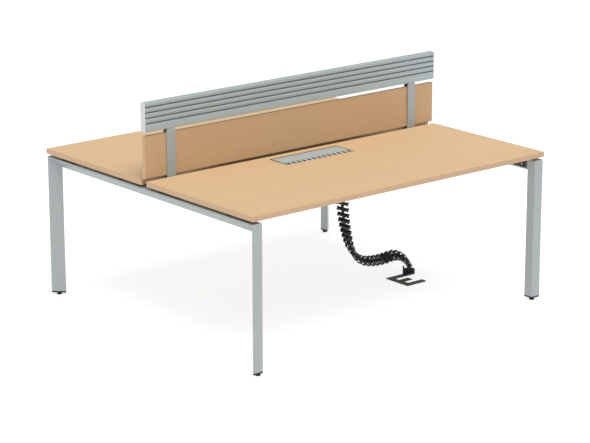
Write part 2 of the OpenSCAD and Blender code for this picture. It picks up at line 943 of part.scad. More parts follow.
// Every list of places ends with the point where the next list starts
floor_walk = walk([cup_x, cup_ball_h], first_aim, turns(floor_stretches));
floor_n = len(floor_walk) - 1;
bend_walk = walk(floor_walk[floor_n][0], floor_walk[floor_n][1], turns(bend_stretches));
bend_n = len(bend_walk) - 1;
drop_walk = climb(bend_walk[bend_n][0], bend_walk[bend_n][1]);
drop_n = len(drop_walk) - 1;
head_x = drop_walk[drop_n][0][0];
head_z = drop_walk[drop_n][0][1];

module cable_tray() {
    half = tray_w / 2;
    out = half + tray_thk;
    color(silver)
        difference() {
            translate([-tray_len / 2, 0, 0])
                prism_x(tray_len, [
                    [-out, tray_z - tray_thk], [out, tray_z - tray_thk],
                    [out, under_z - tray_thk], [out + tray_flange, under_z - tray_thk],
                    [out + tray_flange, under_z], [half, under_z], [half, tray_z],
                    [-half, tray_z], [-half, under_z], [-out - tray_flange, under_z],
                    [-out - tray_flange, under_z - tray_thk], [-out, under_z - tray_thk]
                ]);
            translate([head_x, -spine_y, tray_z - tray_thk])
                cube([head_hole_w, head_hole_d, 4 * tray_thk], center = true);
            for (sx = [-1, 1])
                for (sy = [-1, 1])
                    translate([head_x + sx * head_screw_x, -spine_y + sy * head_screw_y,
                               tray_z - 2 * tray_thk])
                        cylinder(h = 4 * tray_thk, r = screw_r + fit);
            for (sx = [-1, 1])
                for (sy = [-1, 1])
                    for (x = [tray_len / 2 - tray_flange, tray_len / 6])
                        translate([sx * x, sy * tray_screw_y, under_z - 2 * tray_thk])
                            cylinder(h = 4 * tray_thk, r = screw_r + fit);
        }
}

// Link of the spine along +Z: socket round zero, ball at the pitch. Flat wings hold an oval
// ring and part it into four cable chambers. The fingers at the ring's ends keep cables in
socket_r = ball_r + fit;
socket_lip = ball_r / 3;
mouth_share = 0.94;
neck_share = 0.6;
neck_r = neck_share * ball_r;
hub_top = link_pitch - ball_r - socket_lip;
wing_half = link_w / 2 - finger_thk;

module socket_cut() {
    sphere(r = socket_r);
    translate([0, 0, -socket_lip - over])
        cylinder(h = socket_lip + over, r = mouth_share * socket_r);
}

module ball_on_neck(foot_z, ball_z) {
    translate([0, 0, foot_z])
        cylinder(h = ball_z - foot_z, r = neck_r);
    translate([0, 0, ball_z])
        sphere(r = ball_r);
}

module oval(width, depth) {
    square([width - depth, depth], center = true);
    for (s = [-1, 1])
        translate([s * (width - depth) / 2, 0])
            circle(d = depth);
}

// Slanted oval ring with its wings and fingers, centred halfway between socket and ball
module slanted_ring() {
    translate([0, 0, link_pitch / 2])
        rotate([0, -ring_slant, 0]) {
            linear_extrude(ring_h, center = true)
                difference() {
                    oval(link_w, link_d);
                    oval(link_w - 2 * ring_wall, link_d - 2 * ring_wall);
                }
            linear_extrude(finger_h, center = true)
                difference() {
                    oval(link_w, link_d);
                    square([2 * wing_half, link_d + over], center = true);
                }
            cube([2 * wing_half + over, wing_thk, wing_h], center = true);
            cube([wing_thk, link_d - ring_wall, wing_h], center = true);
        }
}

module spine_link() {
    difference() {
        union() {
            translate([0, 0, -socket_lip])
                cylinder(h = hub_top + socket_lip, r = hub_r);
            slanted_ring();
        }
        socket_cut();
    }
    ball_on_neck(hub_top - over, link_pitch);
}

module links(places) {
    color(black)
        for (i = [0:len(places) - 2])
            translate([places[i][0][0], -spine_y, places[i][0][1]])
                rotate([0, 90 - places[i][1][0], 0])
                    rotate([0, 0, places[i][1][1]])
                        spine_link();
}

module spine_links_floor() { links(floor_walk); }
module spine_links_bend() { links(bend_walk); }
module spine_links_drop() { links(drop_walk); }

// Head of the spine: a flange screwed under the tray with two cable inlets, and the last socket
head_hole_w = 60;
head_hole_d = 28;
head_flange_w = 14;
head_flange_h = 3;
head_bridge = 22;
inlet_w = (head_hole_w - head_bridge) / 2;
inlet_d = head_hole_d - 2 * ring_wall;
head_screw_x = (head_hole_w + head_flange_w) / 2;
head_screw_y = (head_hole_d + head_flange_w) / 2 - ring_wall;

module spine_head() {
    top = tray_z - tray_thk;
    color(black)
        translate([head_x, -spine_y, 0])
            difference() {
                union() {
                    difference() {
                        bar_x(head_hole_w + 2 * head_flange_w, -head_hole_d / 2 - head_flange_w / 2,
                              top - head_flange_h, head_hole_d + head_flange_w, head_flange_h);
                        for (s = [-1, 1]) {
                            translate([s * (head_bridge + inlet_w) / 2, 0, top])
                                cube([inlet_w, inlet_d, 4 * head_flange_h], center = true);
                            for (sy = [-1, 1])
                                translate([s * head_screw_x, sy * head_screw_y, top - 2 * head_flange_h])
                                    cylinder(h = 4 * head_flange_h, r = screw_r + fit);
                        }
                    }
                    translate([0, 0, head_z - socket_lip])
                        cylinder(h = top - head_z + socket_lip, r = hub_r);
                }
                translate([0, 0, head_z])
                    socket_cut();
            }
}

// Cup on the floor plate: an oval base with a wing, two claws under a slanted top, and a
// post with its ball. Two screws come up into the base through the floor plate
cup_turn = 140;
cup_base_h = 8;
cup_wing_h = 30;
cup_mid_h = 32;
cup_rise = link_w / 2 * tan(ring_slant);
cup_screw_x = (hub_r + wing_half) / 2;
cup_screw_len = 12;
head_sink = screw_head_h + fit;

module cup_screw_places() {
    translate([cup_x, -spine_y, 0])
        rotate([0, 0, cup_turn])
            for (s = [-1, 1])
                translate([s * cup_screw_x, 0, 0])
                    children();
}

module spine_cup() {
    color(black)
        difference() {
            translate([cup_x, -spine_y, plate_thk])
                rotate([0, 0, cup_turn]) {
                    linear_extrude(cup_base_h)
                        oval(link_w, link_d);
                    intersection() {
                        rotate([90, 0, 0])
                            linear_extrude(link_d + over, center = true)
                                polygon([
                                    [-link_w / 2, 0],
                                    [link_w / 2, 0],
                                    [link_w / 2, cup_mid_h + cup_rise],
                                    [-link_w / 2, cup_mid_h - cup_rise]
                                ]);
                        linear_extrude(2 * cup_mid_h)
                            difference() {
                                oval(link_w, link_d);
                                square([2 * wing_half, link_d + over], center = true);
                            }
                    }
                    translate([-wing_half - over, -wing_thk / 2, 0])
                        cube([2 * (wing_half + over), wing_thk, cup_wing_h]);
                    cylinder(h = cup_ball_h - plate_thk - ball_r - socket_lip, r = hub_r);
                    ball_on_neck(cup_base_h, cup_ball_h - plate_thk);
                }
            cup_screw_places()
                cylinder(h = head_sink + cup_screw_len + fit, r = screw_r + run_fit);
        }
}

module spine_screws() {
    color(zinc) {
        cup_screw_places()
            translate([0, 0, head_sink])
                fastener(screw_r, screw_head_r, screw_head_h, cup_screw_len - over);
        for (sx = [-1, 1])
            for (sy = [-1, 1])
                translate([head_x + sx * head_screw_x, -spine_y + sy * head_screw_y,
                           tray_z - tray_thk - head_flange_h])
                    fastener(screw_r, screw_head_r, screw_head_h,
                             head_flange_h + tray_thk + grip / 2);
    }
}

// Floor plate cut like a letter E, its rear arm under the cup
cup_overlap = 22;

module floor_plate() {
    x0 = cup_x - cup_reach;
    rear = -spine_y + bar_w / 2;
    color(dark_steel)
        difference() {
            union() {
                translate([x0, rear - plate_d, 0])
                    cube([bar_w, plate_d, plate_thk]);
                translate([x0, rear - bar_w, 0])
                    cube([cup_reach + cup_overlap, bar_w, plate_thk]);
                translate([x0, rear - plate_d / 2 - bar_w / 2, 0])
                    cube([mid_arm, bar_w, plate_thk]);
                translate([x0, rear - plate_d, 0])
                    cube([front_arm, bar_w, plate_thk]);
            }
            cup_screw_places() {
                translate([0, 0, -over])
                    cylinder(h = head_sink + over, r = screw_head_r + fit);
                cylinder(h = plate_thk + over, r = screw_r + fit);
            }
        }
}

worktop_front();
worktop_rear();
edge_strip_front();
edge_strip_rear();
leg_front_left();
leg_front_right();
leg_rear_left();
leg_rear_right();
crossbar_left();
crossbar_right();
leg_cap_front_left();
leg_cap_front_right();
leg_cap_rear_left();
leg_cap_rear_right();
foot_front_left();
foot_front_right();
foot_rear_left();
foot_rear_right();
beam_front();
beam_rear();
beam_bolts();
worktop_spacers();
worktop_brackets();
bracket_screws();
worktop_screws();
screen_panel();
post_left_front();
post_left_rear();
post_right_front();
post_right_rear();
post_cores();
post_brackets();
post_bolts();
rail_screws();
tool_rail();
rail_cap_left();
rail_cap_right();
port_frame_front();
port_frame_rear();
port_lid_front();
port_lid_rear();
port_comb_front();
port_comb_rear();
hinge_pin_front();
hinge_pin_rear();
cable_tray();
spine_head();
spine_links_floor();
spine_links_bend();
spine_links_drop();
spine_cup();
spine_screws();
floor_plate();
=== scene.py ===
# %% [markdown]
# # A benching desk for two, dressed for its picture
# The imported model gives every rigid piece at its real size. This lesson gives each piece
# its finish, and rebuilds the pieces whose small shapes a plain solid leaves out.
# All lengths are metres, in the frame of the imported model: X runs along the desk,
# Y from the front user to the rear user, and Z is up from the floor.

import json
import math

import bmesh
import bpy
from mathutils import Matrix, Vector


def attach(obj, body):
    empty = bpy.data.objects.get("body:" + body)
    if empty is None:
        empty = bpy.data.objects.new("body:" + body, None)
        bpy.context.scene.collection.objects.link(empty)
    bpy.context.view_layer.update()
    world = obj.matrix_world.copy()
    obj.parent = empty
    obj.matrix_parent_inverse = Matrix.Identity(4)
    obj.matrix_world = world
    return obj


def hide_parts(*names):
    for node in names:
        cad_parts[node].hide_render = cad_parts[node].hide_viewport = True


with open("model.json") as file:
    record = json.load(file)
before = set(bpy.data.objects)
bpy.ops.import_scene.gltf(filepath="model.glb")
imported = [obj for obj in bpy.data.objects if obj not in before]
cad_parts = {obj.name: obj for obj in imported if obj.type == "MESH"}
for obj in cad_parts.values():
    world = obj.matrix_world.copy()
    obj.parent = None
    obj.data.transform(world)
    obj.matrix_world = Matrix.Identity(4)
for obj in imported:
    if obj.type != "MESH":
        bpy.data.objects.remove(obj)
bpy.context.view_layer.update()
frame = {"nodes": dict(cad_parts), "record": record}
nodes = frame["nodes"]

# %% [markdown]
# The camera comes first. A product picture like this one is taken from far away with a
# long lens, so that parallel edges stay nearly parallel. The place and the two angles
# below were solved from the desk's own corners. A tracked rotation (to_track_quat) would
# need no matrix, but it can't hold the small roll, so the three axes are written out.

# %% Camera
LENS = 142.16
SENSOR = 36.0
CLIP_END = 100.0
HEADING = math.radians(50.274)
TILT = math.radians(15.858)
ROLL = math.radians(-0.088)
CAMERA_PLACE = Vector((-6.9818, -8.4058, 3.4881))


def camera_axes(heading, tilt, roll):
    """Right, up and backward axes of a camera that looks along heading, tilted down."""
    ahead = Vector((math.cos(heading) * math.cos(tilt),
                    math.sin(heading) * math.cos(tilt),
                    -math.sin(tilt)))
    right = ahead.cross(Vector((0, 0, 1))).normalized()
    up = right.cross(ahead)
    return (math.cos(roll) * right + math.sin(roll) * up,
            math.cos(roll) * up - math.sin(roll) * right,
            -ahead)


camera_data = bpy.data.cameras.new("camera")
camera_data.lens = LENS
camera_data.sensor_width = SENSOR
camera_data.clip_end = CLIP_END
camera = bpy.data.objects.new("camera", camera_data)
camera_turn = Matrix(camera_axes(HEADING, TILT, ROLL)).transposed().to_4x4()
camera.matrix_world = Matrix.Translation(CAMERA_PLACE) @ camera_turn
bpy.context.scene.collection.objects.link(camera)
bpy.context.scene.camera = camera
print("camera at", [round(v, 3) for v in CAMERA_PLACE])

# %% [markdown]
# The studio is a white floor under an even white sky, with one broad sun high over the
# desk. A sun lights the whole worktop evenly, and its angle of 50 degrees makes it as soft
# as a lamp the size of the desk. The floor glows, as the paper of a light table does, and
# its own white is a dark one. So it stays nearly white in the desk's shadow and throws
# little light back at the inner faces of the legs.

# %% Studio
SKY_STRENGTH = 0.50
SUN_STRENGTH = 3.1
SUN_FROM = Vector((-0.22, -0.60, 1.5))
SUN_ANGLE = math.radians(50.0)
FLOOR_WHITE = 0.30
FLOOR_GLOW = 0.78
FLOOR_HALF = 80.0

sun_data = bpy.data.lights.new("sun", "SUN")
sun_data.energy = SUN_STRENGTH
sun_data.angle = SUN_ANGLE
sun = bpy.data.objects.new("sun", sun_data)
sun.rotation_euler = SUN_FROM.to_track_quat("Z", "Y").to_euler()
bpy.context.scene.collection.objects.link(sun)

sky = bpy.data.worlds.new("sky")
sky.use_nodes = True
background = sky.node_tree.nodes["Background"]
background.inputs["Color"].default_value = (1.0, 1.0, 1.0, 1.0)
background.inputs["Strength"].default_value = SKY_STRENGTH
bpy.context.scene.world = sky
bpy.context.scene.view_settings.view_transform = "Standard"

floor_mesh = bpy.data.meshes.new("floor")
floor_corners = [(x * FLOOR_HALF, y * FLOOR_HALF, 0)
                 for x, y in ((-1, -1), (1, -1), (1, 1), (-1, 1))]
floor_mesh.from_pydata(floor_corners, [], [(0, 1, 2, 3)])
floor = bpy.data.objects.new("floor", floor_mesh)
bpy.context.scene.collection.objects.link(floor)
print("a white floor, a sky and a sun")

# %% [markdown]
# A finish is a small tree of shader nodes. Wiring nodes by hand hides the arithmetic, so
# small classes are written here. A Field wraps one output socket, and Python's own
# operators on it add Math nodes, so that 1 - mask reads as it would on paper. A Graph is a
# node tree whose one method adds any other node, and a Finish is the graph of a material.

# %% Shader arithmetic
BLACK = (0.0, 0.0, 0.0, 1.0)
WHITE = (1.0, 1.0, 1.0, 1.0)
RUB_BELOW, RUB_ABOVE = 0.08, 0.10


class Field:
    """One output socket of a graph. Operators on it add Math nodes to the same tree."""

    def __init__(self, graph, socket):
        self.graph = graph
        self.socket = socket

    def math(self, operation, first, second):
        return self.graph.add("ShaderNodeMath", {0: first, 1: second}, operation=operation)

    def __add__(self, other):
        return self.math("ADD", self, other)

    __radd__ = __add__

    def __mul__(self, other):
        return self.math("MULTIPLY", self, other)

    __rmul__ = __mul__

    def __sub__(self, other):
        return self.math("SUBTRACT", self, other)

    def __rsub__(self, other):
        return self.math("SUBTRACT", other, self)

    def __truediv__(self, other):
        return self.math("DIVIDE", self, other)

    def __rtruediv__(self, other):
        return self.math("DIVIDE", other, self)

    def __pow__(self, other):
        return self.math("POWER", self, other)

    def __gt__(self, other):
        return self.math("GREATER_THAN", self, other)


class Graph:
    """A node tree in the making."""

    def __init__(self, tree):
        self.tree = tree

    def add(self, kind, sockets=None, out=0, stops=None, **settings):
        """Adds a node: its settings and ramp stops first, then its sockets' values or links."""
        node = self.tree.nodes.new(kind)
        for name, value in settings.items():
            setattr(node, name, value)
        for i, (position, colour) in enumerate(stops or []):
            ramp = node.color_ramp.elements
            stop = ramp[i] if i < len(ramp) else ramp.new(position)
            stop.position = position
            stop.color = colour
        for key, value in (sockets or {}).items():
            self.plug(node.inputs[key], value)
        return Field(self, node.outputs[out])

    def plug(self, socket, value):
        if isinstance(value, Field):
            self.tree.links.new(value.socket, socket)
        else:
            socket.default_value = value


class Finish(Graph):
    """A material in the making. Its place field is the object's own coordinates, in metres."""

    def __init__(self, name):
        self.material = bpy.data.materials.new(name)
        self.material.use_nodes = True
        super().__init__(self.material.node_tree)
        self.shader = self.tree.nodes["Principled BSDF"]
        self.place = self.add("ShaderNodeTexCoord", out="Object")
        self.worn = self.add("ShaderNodeAttribute", out="Fac", attribute_name="worn")

    def noise(self, scale, detail, roughness, vector=None):
        """Noise with about that many blotches per metre. A vector replaces the place."""
        return self.add("ShaderNodeTexNoise", {"Vector": vector or self.place, "Scale": scale,
                                               "Detail": detail, "Roughness": roughness})

    def grain(self, along, across, detail, roughness):
        """Noise that is stretched along X, with so many blotches per metre along and across."""
        stretched = self.add("ShaderNodeMapping", {"Vector": self.place,
                                                   "Scale": (along, across, across)})
        return self.noise(1.0, detail, roughness, stretched)

    def ramp(self, factor, *stops):
        return self.add("ShaderNodeValToRGB", {"Fac": factor}, stops=stops)

    def mix(self, factor, first, second):
        """Blend of two colours. The node has sockets for other types too, so these are numbered."""
        return self.add("ShaderNodeMix", {0: factor, 6: first, 7: second}, out=2, data_type="RGBA")

    def bump(self, height, distance, strength):
        """A normal that is tilted as if the surface had this height, of that depth in metres."""
        return self.add("ShaderNodeBump", {"Height": height, "Distance": distance,
                                           "Strength": strength})

    def rubbed(self, reach, scale=55.0):
        """A mask of the rounded edges, broken up by noise as hands and sleeves rub them."""
        patches = self.noise(scale, 3.0, 0.6)
        mask = self.ramp(patches, (reach - RUB_BELOW, BLACK), (reach + RUB_ABOVE, WHITE))
        return self.worn * mask

    def set(self, **sockets):
        """Sets or links sockets of the shader: base_color sets Base Color, and so on."""
        names = {s.name.lower().replace(" ", "_"): s for s in self.shader.inputs}
        for name, value in sockets.items():
            self.plug(names[name], value)
        return self.material


def rgb(red, green, blue):
    """A shader colour from the 0 to 255 values of a colour picker."""
    return tuple((v / 255) ** 2.2 for v in (red, green, blue)) + (1.0,)


print("Field, Graph and Finish are ready")

# %% [markdown]
# The worktops are chipboard under a printed beech laminate. Its grain is nearly invisible
# from across a room: long soft bands along the board, and short fine pores. Noise that is
# stretched along X gives the bands, and a finer, shorter one the pores. An image of wood
# would repeat and would need a UV map, and noise does neither. The ends are closed by a
# glued strip that is a little darker, and the rounded edges are rubbed here and there.

# %% Beech laminate
END_BAND = rgb(198, 167, 131)
END_BAND_FROM = 0.8982
BANDS_PER_METRE = 22
PORES_PER_METRE = 420
PORE_FROM, PORE_FULL = 0.60, 0.74
PORE_DEPTH = 0.00003


def laminate(name, light, dark, pore, grain_scale=1.0):
    finish = Finish(name)
    bands = finish.grain(0.9, BANDS_PER_METRE * grain_scale, 4.0, 0.55)
    broad = finish.grain(0.35, 3.2, 2.0, 0.5)
    pores = finish.grain(14, PORES_PER_METRE, 2.0, 0.6)
    pore_mask = finish.ramp(pores, (PORE_FROM, BLACK), (PORE_FULL, WHITE))
    along = finish.add("ShaderNodeSeparateXYZ", {"Vector": finish.place}, out="X")
    end = along * along > END_BAND_FROM ** 2
    tone = finish.mix(bands * 0.7 + broad * 0.3, dark, light)
    tone = finish.mix(end * (0.75 + bands * 0.2), tone, END_BAND)
    rub = finish.rubbed(0.52)
    colour = finish.mix(rub * 0.35, finish.mix(pore_mask * 0.35, tone, pore), light)
    relief = finish.noise(2600.0, 2.0, 0.5) - pore_mask * 0.6
    finish.set(base_color=colour, roughness=0.46 + bands * 0.10 + pore_mask * 0.12 - rub * 0.12,
               normal=finish.bump(relief, PORE_DEPTH, 0.6), specular_ior_level=0.42)
    return finish.material


worktop_laminate = laminate("worktop_laminate",
                            rgb(201, 171, 133), rgb(191, 158, 119), rgb(170, 134, 94))
edge_strip = laminate("edge_strip", rgb(189, 158, 127), rgb(178, 146, 114), rgb(158, 126, 92), 2.0)
screen_laminate = laminate("screen_laminate",
                           rgb(188, 156, 120), rgb(178, 145, 110), rgb(158, 124, 90))
print("three laminates")

# %% [markdown]
# The frame is powder coated: a paint with metal flakes that melts into a skin like fine
# orange peel. The peel is a bump of about a millimetre and a half, and the flakes are
# small cells that differ in brightness.

# %% Metallic powder coat
PEEL_PER_METRE = 620.0
PEEL_DEPTH = 0.00006
FLAKES_PER_METRE = 2600.0


def powder_coat(name, colour, flake, metallic, roughness):
    finish = Finish(name)
    peel = finish.noise(PEEL_PER_METRE, 2.0, 0.5)
    cells = finish.add("ShaderNodeTexVoronoi",
                       {"Vector": finish.place, "Scale": FLAKES_PER_METRE}, out="Color")
    sparkle = finish.add("ShaderNodeSeparateColor", {"Color": cells})
    cloud = finish.noise(3.0, 3.0, 0.5)
    tone = finish.mix(sparkle ** 3.0 * 0.5, colour, flake)
    shade = finish.mix(cloud * 0.12, tone, BLACK)
    rub = finish.rubbed(0.56)
    finish.set(base_color=finish.mix(rub * 0.6, shade, flake), metallic=metallic,
               roughness=roughness + cloud * 0.08 - rub * 0.14,
               normal=finish.bump(peel, PEEL_DEPTH, 0.5))
    return finish.material


frame_paint = powder_coat("frame_paint", rgb(158, 165, 166), rgb(196, 201, 202), 0.35, 0.40)
black_steel = powder_coat("black_steel", rgb(30, 31, 31), rgb(56, 58, 58), 0.0, 0.5)
plate_steel = powder_coat("plate_steel", rgb(62, 64, 62), rgb(90, 92, 90), 0.0, 0.5)
print("three powder coats")

# %% [markdown]
# The tool rail and the port lids are anodised aluminium. Drawing and brushing leave fine
# lines along the bar, which is noise stretched hundreds of times.

# %% Anodised aluminium
BRUSH_LINES_PER_METRE = 1500
BRUSH_DEPTH = 0.00002


def anodised(name, colour, fleck, roughness):
    finish = Finish(name)
    lines = finish.grain(4, BRUSH_LINES_PER_METRE, 3.0, 0.6)
    cloud = finish.noise(4.0, 2.0, 0.5)
    tone = finish.mix(lines * 0.8, colour, fleck)
    rub = finish.rubbed(0.50)
    finish.set(base_color=finish.mix(rub * 0.7, tone, fleck), metallic=0.3,
               roughness=roughness + lines * 0.14 + cloud * 0.05 - rub * 0.1,
               normal=finish.bump(lines, BRUSH_DEPTH, 0.5))
    return finish.material


rail_aluminium = anodised("rail_aluminium", rgb(154, 165, 168), rgb(172, 182, 185), 0.36)
lid_aluminium = anodised("lid_aluminium", rgb(164, 173, 173), rgb(182, 190, 191), 0.40)
print("two aluminium finishes")

# %% [markdown]
# Moulded plastic is told by its skin: the mould is spark eroded, and the part takes over
# that fine, even grain.

# %% Moulded plastic
SKIN_DEPTH = 0.00004


def moulded(name, colour, worn, roughness, grain=1500.0):
    finish = Finish(name)
    skin = finish.noise(grain, 3.0, 0.6)
    cloud = finish.noise(9.0, 3.0, 0.5)
    rub = finish.rubbed(0.50, 90.0)
    tone = finish.mix(cloud * 0.35 + rub * 0.5, colour, worn)
    finish.set(base_color=tone, roughness=roughness + skin * 0.12 - rub * 0.15,
               normal=finish.bump(skin, SKIN_DEPTH, 0.6))
    return finish.material


cap_plastic = moulded("cap_plastic", rgb(205, 210, 213), rgb(194, 200, 204), 0.38)
black_plastic = moulded("black_plastic", rgb(26, 28, 27), rgb(38, 40, 39), 0.5)
spine_plastic = moulded("spine_plastic", rgb(24, 27, 25), rgb(36, 39, 37), 0.48, 1100.0)
print("three plastics")

# %% [markdown]
# Screws and pins are zinc plated: bright, slightly bluish, with a cloudy passivation.

# %% Zinc plate
PIT_DEPTH = 0.00002


def zinc_plate():
    finish = Finish("zinc_steel")
    cloud = finish.noise(160.0, 3.0, 0.6)
    pits = finish.noise(1800.0, 2.0, 0.5)
    tone = finish.mix(cloud, rgb(188, 194, 200), rgb(205, 203, 190))
    finish.set(base_color=tone, metallic=1.0, roughness=0.24 + cloud * 0.16,
               normal=finish.bump(pits, PIT_DEPTH, 0.4))
    return finish.material


zinc_steel = zinc_plate()
print("zinc")

# %% [markdown]
# The record names the material slot of every node, so the finishes are handed out by slot.
# The floor gets its matt, glowing white here as well.

# %% Hand out the finishes
FINISHES = {
    "worktop_laminate": worktop_laminate, "edge_strip": edge_strip,
    "screen_laminate": screen_laminate, "frame_paint": frame_paint,
    "black_steel": black_steel, "plate_steel": plate_steel, "zinc_steel": zinc_steel,
    "rail_aluminium": rail_aluminium, "lid_aluminium": lid_aluminium,
    "cap_plastic": cap_plastic, "black_plastic": black_plastic, "spine_plastic": spine_plastic,
}
BODIES = frame["record"]["behaviour"]["bodies"]
SLOTS = {part["node"]: part["material_slot"] for part in frame["record"]["subparts"]}

for name, node in nodes.items():
    node.data.materials.clear()
    node.data.materials.append(FINISHES[SLOTS[name]])

floor_finish = Finish("floor")
floor_finish.set(base_color=(FLOOR_WHITE, FLOOR_WHITE, FLOOR_WHITE, 1.0), roughness=0.9,
                 emission_color=WHITE, emission_strength=FLOOR_GLOW)
floor_mesh.materials.append(floor_finish.material)
print("finishes on", len(nodes), "nodes")

# %% [markdown]
# Every dressed piece ends the same way: its mesh becomes an object, its modifiers are
# baked, it takes its slot's finish, it rides on its body, and the nodes it replaces are hidden.

# %% Finishing a piece
SAME_PLACE = 2e-6


def body_of(name):
    """The body that carries a node."""
    return next(body for body, members in BODIES.items() if name in members)


def settle(piece, slot, body, *replaced):
    """Finishes a piece if bare, hangs it on its body and hides the nodes that it stands for."""
    if not piece.data.materials:
        piece.data.materials.append(FINISHES[slot])
    if replaced:
        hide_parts(*replaced)
    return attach(piece, body)


def linked(name, mesh):
    """A new object of that mesh, at the origin."""
    piece = bpy.data.objects.new(name, mesh)
    bpy.context.scene.collection.objects.link(piece)
    return piece


def baked(piece):
    """Turns a piece into what its modifiers make of it, and removes them."""
    graph = bpy.context.evaluated_depsgraph_get()
    mesh = bpy.data.meshes.new_from_object(piece.evaluated_get(graph),
                                           preserve_all_data_layers=True, depsgraph=graph)
    piece.modifiers.clear()
    piece.data = mesh
    return piece


def meshed(work, name):
    """The mesh of a finished bmesh, which is freed."""
    mesh = bpy.data.meshes.new(name)
    work.to_mesh(mesh)
    work.free()
    return mesh


def smooth(mesh, crease):
    """Smooth shading, but for edges sharper than the crease angle."""
    mesh.shade_smooth()
    mesh.set_sharp_from_angle(angle=crease)
    return mesh


def merged_copy(name):
    """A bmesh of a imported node, with its loose triangles joined."""
    work = bmesh.new()
    work.from_mesh(nodes[name].data)
    bmesh.ops.remove_doubles(work, verts=work.verts, dist=SAME_PLACE)
    return work


print("the helpers that finish a piece are ready")

# %% [markdown]
# No edge of a real desk is razor sharp. Boards are broken with a file, tubes have a bend
# radius and mouldings are rounded so that they leave the mould. A rounded edge catches a
# thin line of light, and that line is what makes a model look made. So each rigid node is
# copied, its flat faces are joined, and its sharp edges get a small bevel. The bevel's
# faces carry a value named worn, which the finishes read for rubbed edges.

# %% Soft edges
SHARP = math.radians(28.0)
FLAT = math.radians(0.4)
CREASE = math.radians(50.0)
BEVEL_STEPS = 3


def weigh_normals(piece):
    """Lets the large flat faces decide the shading at their rims."""
    smooth(piece.data, CREASE)
    weighted = piece.modifiers.new("weighted", "WEIGHTED_NORMAL")
    weighted.keep_sharp = True
    return baked(piece)


def soften(name, radius):
    """A piece that copies a node and has its sharp edges rounded."""
    work = merged_copy(name)
    bmesh.ops.dissolve_limit(work, angle_limit=FLAT, verts=work.verts, edges=work.edges)
    worn = work.faces.layers.float.new("worn")
    sharp = [e for e in work.edges if len(e.link_faces) == 2 and e.calc_face_angle() > SHARP]
    rounded = bmesh.ops.bevel(work, geom=sharp, offset=radius, segments=BEVEL_STEPS, profile=0.5,
                              affect="EDGES", clamp_overlap=True)
    for face in rounded["faces"]:
        face[worn] = 1.0
    piece = weigh_normals(linked(name + "_soft", meshed(work, name + "_soft")))
    return settle(piece, SLOTS[name], body_of(name), name)


CORNERS = ("front_left", "front_right", "rear_left", "rear_right")
POSTS = ("left_front", "left_rear", "right_front", "right_rear")
USERS = ("front", "rear")
ENDS = ("left", "right")


def each(stem, suffixes):
    """Names of nodes that share a stem."""
    return [f"{stem}_{suffix}" for suffix in suffixes]


EDGE_RADII = {
    0.0020: each("worktop", USERS) + ["screen_panel"],
    0.0016: (each("leg", CORNERS) + each("crossbar", ENDS) + each("post", POSTS)
             + each("beam", USERS)),
    0.0008: (each("edge_strip", USERS) + each("leg_cap", CORNERS) + each("rail_cap", ENDS)
             + ["worktop_brackets", "post_brackets", "post_cores", "floor_plate", "spine_cup",
                "spine_head", "worktop_spacers"] + each("foot", CORNERS)),
    0.0005: (each("port_frame", USERS) + each("port_lid", USERS) + each("port_comb", USERS)
             + ["cable_tray"]),
    0.0003: ["post_bolts"] + each("hinge_pin", USERS),
}
for radius, names in EDGE_RADII.items():
    for name in names:
        soft = soften(name, radius)
        print(f"{name}: {len(soft.data.polygons)} faces")

# %% [markdown]
# Pieces that repeat or follow a line are made by Geometry Nodes, because one number then
# changes all of them. A Recipe is a Graph with named inputs. It ends by making its
# instances real and setting the finish, and the piece is baked to a plain mesh.

# %% Geometry recipes
class Recipe(Graph):
    """A geometry tree in the making. Each named input has a socket type and a value."""

    def __init__(self, name, **inputs):
        super().__init__(bpy.data.node_groups.new(name, "GeometryNodeTree"))
        sockets = self.tree.interface
        sockets.new_socket("start", in_out="INPUT", socket_type="NodeSocketGeometry")
        sockets.new_socket("piece", in_out="OUTPUT", socket_type="NodeSocketGeometry")
        self.values = {}
        for title, (kind, value) in inputs.items():
            socket = sockets.new_socket(title, in_out="INPUT", socket_type="NodeSocket" + kind)
            self.values[socket.identifier] = value
        start = self.tree.nodes.new("NodeGroupInput")
        self.given = {socket.name: Field(self, socket) for socket in start.outputs if socket.name}

    def joined(self, *geometries):
        """Several geometries as one."""
        node = self.tree.nodes.new("GeometryNodeJoinGeometry")
        for geometry in geometries:
            self.plug(node.inputs[0], geometry)
        return Field(self, node.outputs[0])

    def grow(self, name, mesh, geometry, material):
        """Ends the tree with this geometry, runs it on a starting mesh and bakes the piece."""
        real = self.add("GeometryNodeRealizeInstances", {"Geometry": geometry})
        done = self.add("GeometryNodeSetMaterial", {"Geometry": real, "Material": material})
        end = self.tree.nodes.new("NodeGroupOutput")
        self.plug(end.inputs[0], done)
        piece = linked(name, mesh)
        modifier = piece.modifiers.new("recipe", "NODES")
        modifier.node_group = self.tree
        for identifier, value in self.values.items():
            modifier[identifier] = value
        return baked(piece)


def stamped(name, stamp_mesh, places, material):
    """Copies of one mesh, each standing on a point with its own turn."""
    mesh = bpy.data.meshes.new(name)
    mesh.from_pydata([place for place, _ in places], [], [])
    turns = mesh.attributes.new("turn", "FLOAT_VECTOR", "POINT")
    for item, (_, turn) in zip(turns.data, places):
        item.vector = turn
    stamp = linked(name + "_stamp", stamp_mesh)
    recipe = Recipe(name, stamp=("Object", stamp))
    turn = recipe.add("GeometryNodeInputNamedAttribute", {"Name": "turn"}, data_type="FLOAT_VECTOR")
    spin = recipe.add("FunctionNodeEulerToRotation", {"Euler": turn})
    shape = recipe.add("GeometryNodeObjectInfo", {"Object": recipe.given["stamp"]}, out="Geometry")
    copies = recipe.add("GeometryNodeInstanceOnPoints",
                        {"Points": recipe.given["start"], "Instance": shape, "Rotation": spin})
    piece = recipe.grow(name, mesh, copies, material)
    bpy.data.objects.remove(stamp)
    return piece


print("Recipe and stamped are ready")

